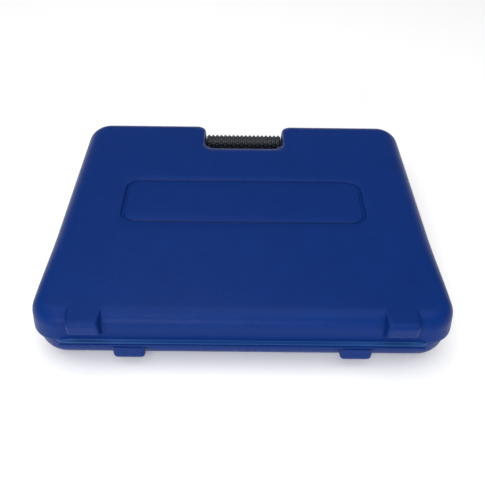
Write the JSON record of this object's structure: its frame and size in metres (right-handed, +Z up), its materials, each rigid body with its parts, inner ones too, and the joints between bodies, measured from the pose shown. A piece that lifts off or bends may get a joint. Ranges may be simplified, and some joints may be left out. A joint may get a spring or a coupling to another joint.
{
  "type": "microchip scanner case",
  "caption": "Blow-moulded carrying case with a notched handle, lying closed, holding a handheld ring-type microchip reader in cut foam.",
  "frame": {"origin": "centre of the bounding box at the bottom, on the surface that the closed case lies on", "axes": "+X to the right along the hinge, +Y from the hinge towards the handle, +Z up through the lid"},
  "size_m": [0.38, 0.324, 0.062],
  "materials": {
    "case_blue": "blue blow-moulded polyethylene with a fine pebble grain",
    "hinge_blue": "flexed blue polyethylene, a little paler and shinier",
    "grip_black": "soft black ribbed grip with a fine grain",
    "handle_black": "black moulded polypropylene",
    "latch_black": "black moulded polypropylene, lightly textured",
    "pin_steel": "plain drawn steel",
    "foam": "charcoal open-cell polyurethane foam",
    "reader_grey": "light grey ABS, fine spark texture",
    "reader_teal": "teal ABS, fine spark texture",
    "gasket": "black silicone",
    "bobbin": "natural nylon",
    "copper": "enamelled copper wire",
    "board": "green solder mask",
    "chip": "black epoxy packages",
    "display": "grey-green liquid crystal panel",
    "lens": "clear acrylic window",
    "button_orange": "orange silicone key",
    "button_dark": "dark grey silicone key",
    "led": "clear green light pipe",
    "cell": "printed shrink sleeve, plain",
    "contact": "nickel-plated spring steel"
  },
  "bodies": {
    "case_base": {"base_outer_shell": "case_blue", "base_inner_tray": "case_blue", "base_foam_floor": "foam", "base_foam_insert": "foam", "living_hinge_web": "hinge_blue", "handle_pins": "pin_steel", "reader_front_housing": "reader_grey", "reader_rear_housing": "reader_teal", "housing_gasket": "gasket", "housing_screws": "pin_steel", "antenna_bobbin": "bobbin", "antenna_coil": "copper", "main_circuit_board": "board", "board_chips": "chip", "display_module": "display", "display_window": "lens", "button_switches": "chip", "status_led": "led", "buzzer": "chip", "battery_tray": "handle_black", "battery_cells": "cell", "battery_springs": "contact"},
    "case_lid": {"lid_outer_shell": "case_blue", "lid_inner_tray": "case_blue", "lid_foam_pad": "foam", "latch_pins": "pin_steel"},
    "handle": {"handle_frame": "handle_black", "handle_grip": "grip_black"},
    "left_latch": {"left_latch": "latch_black"},
    "right_latch": {"right_latch": "latch_black"},
    "scan_button": {"scan_button": "button_orange"},
    "menu_button": {"menu_button": "button_dark"},
    "battery_door": {"battery_door": "reader_teal", "door_contact_strip": "contact"}
  },
  "joints": [
    {"name": "lid_hinge", "type": "hinge", "parent": "case_base", "child": "case_lid", "pos_m": [0, -0.1605, 0.031], "axis": [1, 0, 0], "range_deg": [0, 180]},
    {"name": "handle_swing", "type": "hinge", "parent": "case_base", "child": "handle", "pos_m": [0, 0.126, 0.023], "axis": [1, 0, 0], "range_deg": [0, 50]},
    {"name": "left_latch_flip", "type": "hinge", "parent": "case_lid", "child": "left_latch", "pos_m": [-0.105, 0.1592, 0.045], "axis": [1, 0, 0], "range_deg": [0, 110]},
    {"name": "right_latch_flip", "type": "hinge", "parent": "case_lid", "child": "right_latch", "pos_m": [0.105, 0.1592, 0.045], "axis": [1, 0, 0], "range_deg": [0, 110]},
    {"name": "scan_button_press", "type": "slide", "parent": "case_base", "child": "scan_button", "axis": [0, 0, -1], "range_m": [0, 0.0008], "stiffness_N_per_m": 400},
    {"name": "menu_button_press", "type": "slide", "parent": "case_base", "child": "menu_button", "axis": [0, 0, -1], "range_m": [0, 0.0008], "stiffness_N_per_m": 300},
    {"name": "battery_door_slide", "type": "slide", "parent": "case_base", "child": "battery_door", "axis": [-1, 0, 0], "range_m": [0, 0.025]}
  ]
}
